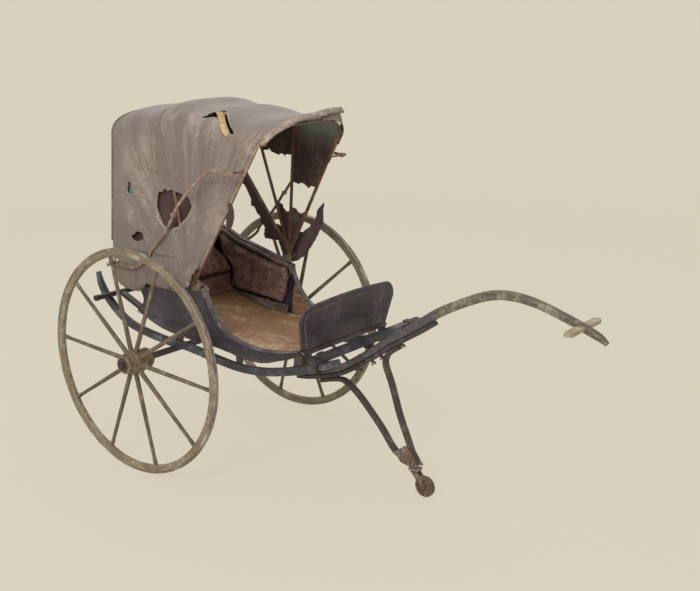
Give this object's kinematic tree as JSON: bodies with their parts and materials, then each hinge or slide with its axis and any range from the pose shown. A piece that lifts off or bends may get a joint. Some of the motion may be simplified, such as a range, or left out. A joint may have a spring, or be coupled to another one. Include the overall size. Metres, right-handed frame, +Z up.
{
  "type": "pulled rickshaw",
  "caption": "Two-wheeled passenger cart with a single pole, cross handle, caster prop, panelled seat body and a torn folding canvas hood on bows.",
  "frame": {"origin": "on the ground, midway between the back of the wheels and the tip of the pole, in the middle plane", "axes": "+X forward along the pole, +Y to the passenger's left, +Z up"},
  "size_m": [2.6747, 1.35, 1.7471],
  "materials": {
    "wheel_wood": "weathered, worn paint",
    "tyre_iron": "worn",
    "iron": "dull",
    "rusty_iron": "rusty",
    "rail_paint": "worn dark paint",
    "body_paint": "worn dark lacquer",
    "floor_wood": "bare boards",
    "trim": "worn pale paint",
    "leather": "worn",
    "dash_leather": "worn",
    "pole_wood": "worn",
    "handle_wood": "bare",
    "bow_wood": "varnished",
    "canvas": "worn canvas",
    "lining": "worn"
  },
  "bodies": {
    "chassis": {"axle": "iron", "rail_right": "rail_paint", "rail_left": "rail_paint", "rear_crossbar": "rail_paint", "rear_brackets": "rail_paint", "front_crossbar": "rail_paint", "rail_bands": "iron", "spacer_blocks": "rail_paint", "floor_board": "floor_wood", "seat_board": "floor_wood", "side_panel_right": "body_paint", "side_panel_left": "body_paint", "back_panel": "body_paint", "trim_strips": "trim", "arm_pad_right": "leather", "arm_pad_left": "leather", "back_pad": "leather", "dashboard": "dash_leather", "pole": "pole_wood", "pole_splice": "pole_wood", "pole_hangers": "iron", "cross_handle": "handle_wood", "prop_leg_front": "iron", "prop_leg_rear": "iron", "prop_gusset": "iron", "hood_pivots": "iron", "iron_studs": "iron"},
    "wheel_right": {"hub_right": "wheel_wood", "spokes_right": "wheel_wood", "rim_right": "wheel_wood", "tyre_right": "tyre_iron"},
    "wheel_left": {"hub_left": "wheel_wood", "spokes_left": "wheel_wood", "rim_left": "wheel_wood", "tyre_left": "tyre_iron"},
    "caster_fork": {"caster_fork": "rusty_iron"},
    "caster_wheel": {"caster_wheel": "rusty_iron"},
    "bow_rear": {"bow_rear": "bow_wood", "canvas_quarter": "canvas", "back_curtain": "lining"},
    "bow_third": {"bow_third": "bow_wood", "canvas_rear": "canvas"},
    "bow_second": {"bow_second": "bow_wood", "canvas_middle": "canvas"},
    "bow_front": {"bow_front": "bow_wood", "canvas_front": "canvas"},
    "lower_irons": {"hood_iron_lower": "rusty_iron"},
    "upper_irons": {"hood_iron_upper": "rusty_iron"}
  },
  "joints": [
    {"name": "wheel_right_spin", "type": "hinge", "parent": "chassis", "child": "wheel_right", "pos_m": [-0.78743, -0.595, 0.55], "axis": [0, 1, 0], "continuous": true},
    {"name": "wheel_left_spin", "type": "hinge", "parent": "chassis", "child": "wheel_left", "pos_m": [-0.78743, 0.595, 0.55], "axis": [0, 1, 0], "continuous": true},
    {"name": "caster_swivel", "type": "hinge", "parent": "chassis", "child": "caster_fork", "pos_m": [0.43056, 0, 0.115], "axis": [0, 0, 1], "continuous": true},
    {"name": "caster_spin", "type": "hinge", "parent": "caster_fork", "child": "caster_wheel", "pos_m": [0.48557, 0, 0.05], "axis": [0, 1, 0], "continuous": true},
    {"name": "hood_fold", "type": "hinge", "parent": "chassis", "child": "bow_rear", "pos_m": [-0.62043, 0, 0.9144], "axis": [0, -1, 0], "range_deg": [0, 41], "deforming": ["canvas_quarter", "back_curtain"]},
    {"name": "third_bow_fold", "type": "hinge", "parent": "bow_rear", "child": "bow_third", "pos_m": [-0.62043, 0, 0.9144], "axis": [0, -1, 0], "range_deg": [0, 13.24], "deforming": ["canvas_rear"]},
    {"name": "second_bow_fold", "type": "hinge", "parent": "bow_third", "child": "bow_second", "pos_m": [-0.62043, 0, 0.9144], "axis": [0, -1, 0], "range_deg": [0, 16.17], "deforming": ["canvas_middle"]},
    {"name": "front_bow_fold", "type": "hinge", "parent": "bow_second", "child": "bow_front", "pos_m": [-0.62043, 0, 0.9144], "axis": [0, -1, 0], "range_deg": [0, 16.17], "deforming": ["canvas_front"]},
    {"name": "lower_iron_fold", "type": "hinge", "parent": "chassis", "child": "lower_irons", "pos_m": [-1.12244, 0, 0.9484], "axis": [0, -1, 0], "range_deg": [0, 119]},
    {"name": "upper_iron_fold", "type": "hinge", "parent": "lower_irons", "child": "upper_irons", "pos_m": [-0.68644, 0, 1.2404], "axis": [0, -1, 0], "range_deg": [-140.6, 0]}
  ],
  "couplings": [
    {"joint": "third_bow_fold", "follows": "hood_fold", "ratio": 0.32245},
    {"joint": "second_bow_fold", "follows": "hood_fold", "ratio": 0.39388},
    {"joint": "front_bow_fold", "follows": "hood_fold", "ratio": 0.39388},
    {"joint": "lower_iron_fold", "follows": "hood_fold", "ratio": 2.8996},
    {"joint": "upper_iron_fold", "follows": "hood_fold", "ratio": -3.4277}
  ]
}
